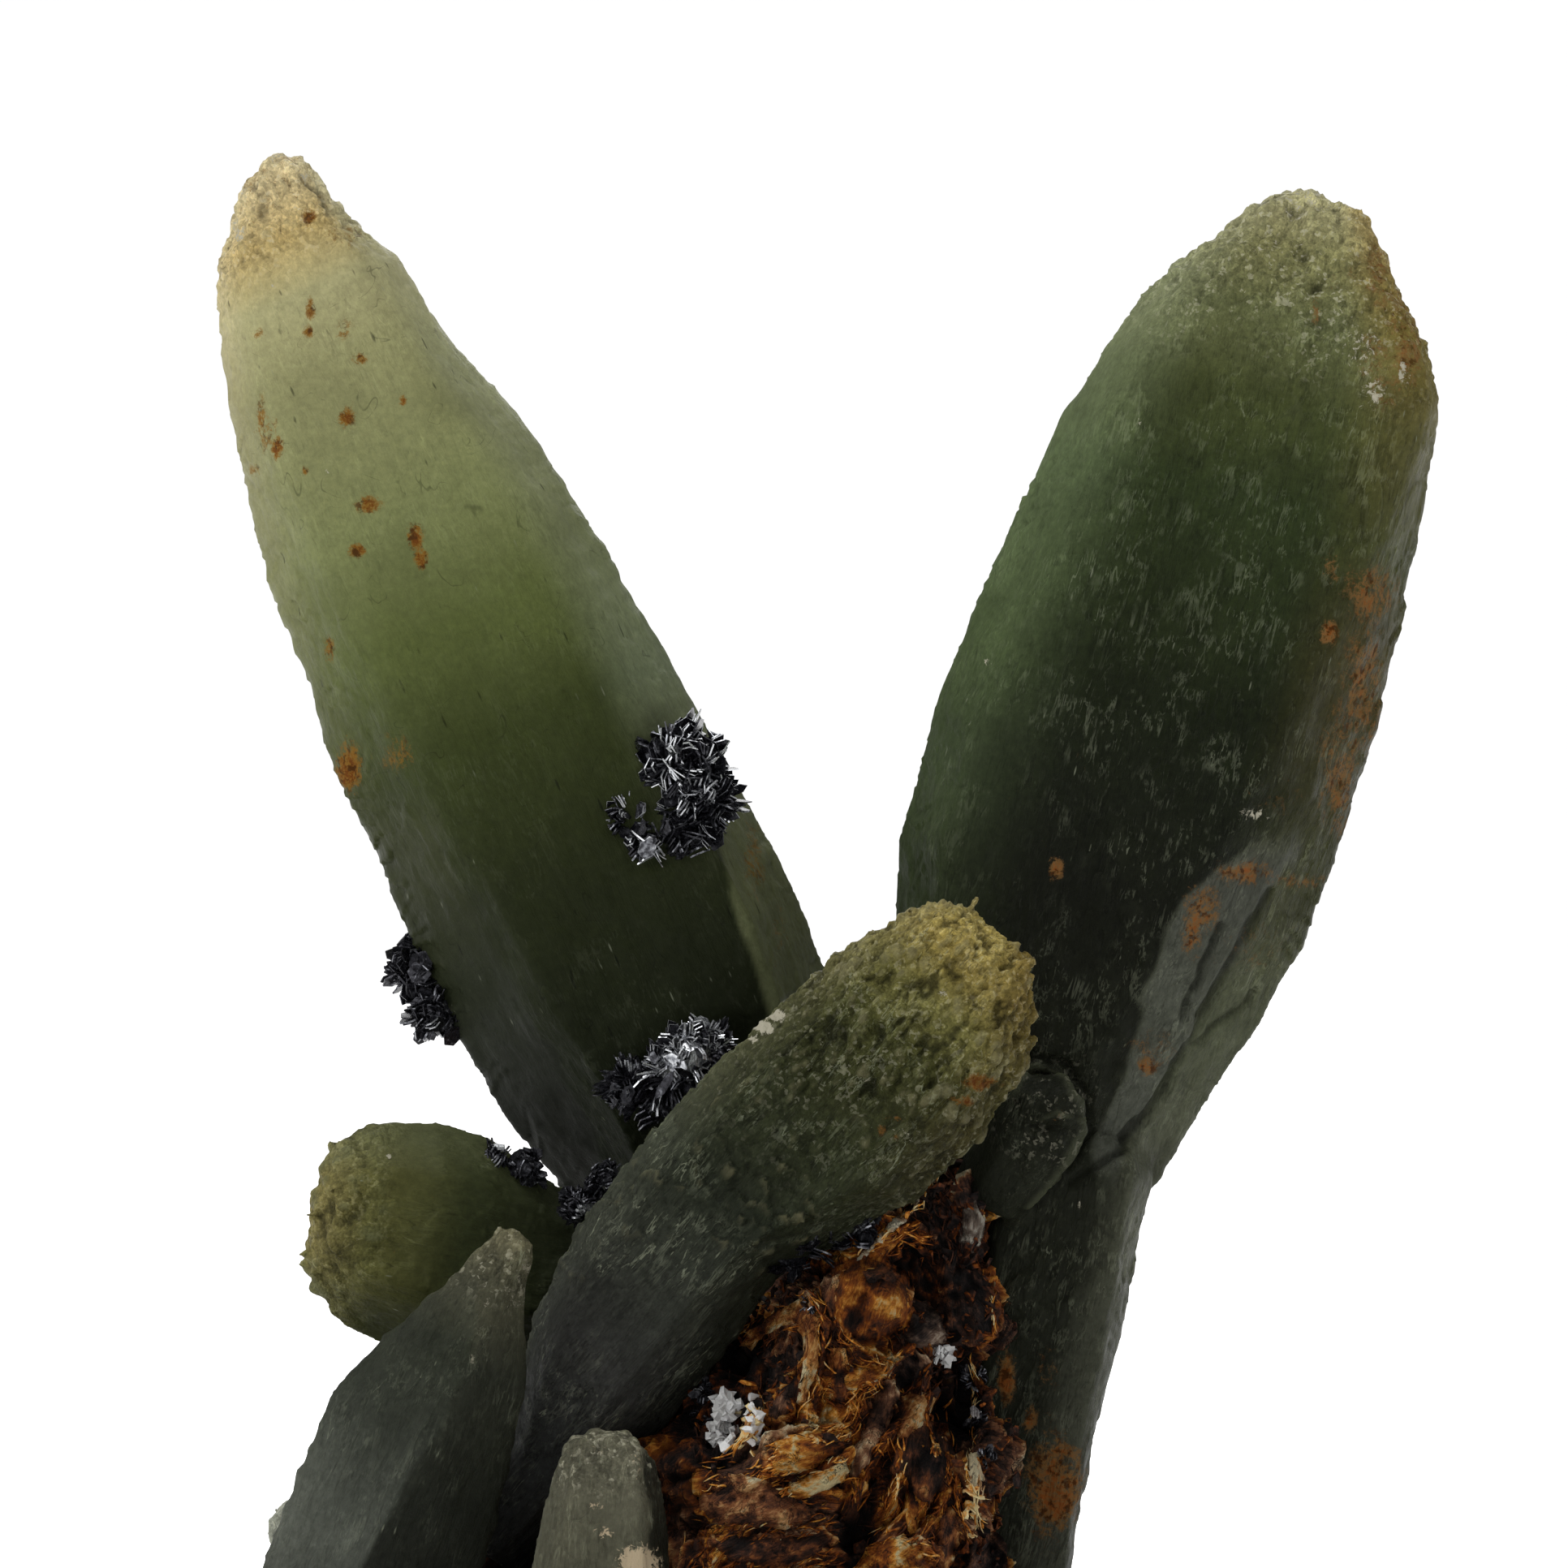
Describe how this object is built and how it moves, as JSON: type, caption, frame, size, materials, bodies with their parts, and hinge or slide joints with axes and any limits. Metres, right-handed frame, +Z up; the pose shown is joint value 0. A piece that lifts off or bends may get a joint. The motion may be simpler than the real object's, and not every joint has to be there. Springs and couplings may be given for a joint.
{
  "type": "prase quartz crystal cluster",
  "caption": "Display specimen: tapering green prase quartz crystals with rough tips and black hematite roses, standing on a flat-cut base of rusty iron-oxide matrix.",
  "frame": {"origin": "centre of the specimen's bounding box on the flat-cut underside of the matrix", "axes": "+Z up along the height of the cluster, the face seen in the picture looks along -Y, +X to the right of it"},
  "size_m": [0.095, 0.0444, 0.1287],
  "materials": {
    "prase": "cloudy green quartz, waxy faces, pale sugary tips",
    "hematite": "steel-black blades with a bright metallic lustre",
    "iron_oxide": "matt, fibrous and earthy, rust to golden brown",
    "pale_quartz": "glassy, greyish white"
  },
  "bodies": {
    "root": {"matrix": "iron_oxide", "left_crystal": "prase", "right_crystal": "prase", "front_crystal": "prase", "stub_crystal": "prase", "lower_left_crystal": "prase", "low_front_crystal": "prase", "hidden_stub_crystal": "prase", "rose_on_left_crystal": "hematite", "rose_on_left_edge": "hematite", "rose_in_valley": "hematite", "rose_on_stub": "hematite", "rose_in_seam": "hematite", "rose_on_matrix": "hematite", "pale_crystals_left": "pale_quartz", "pale_crystals_right": "pale_quartz"}
  },
  "joints": []
}
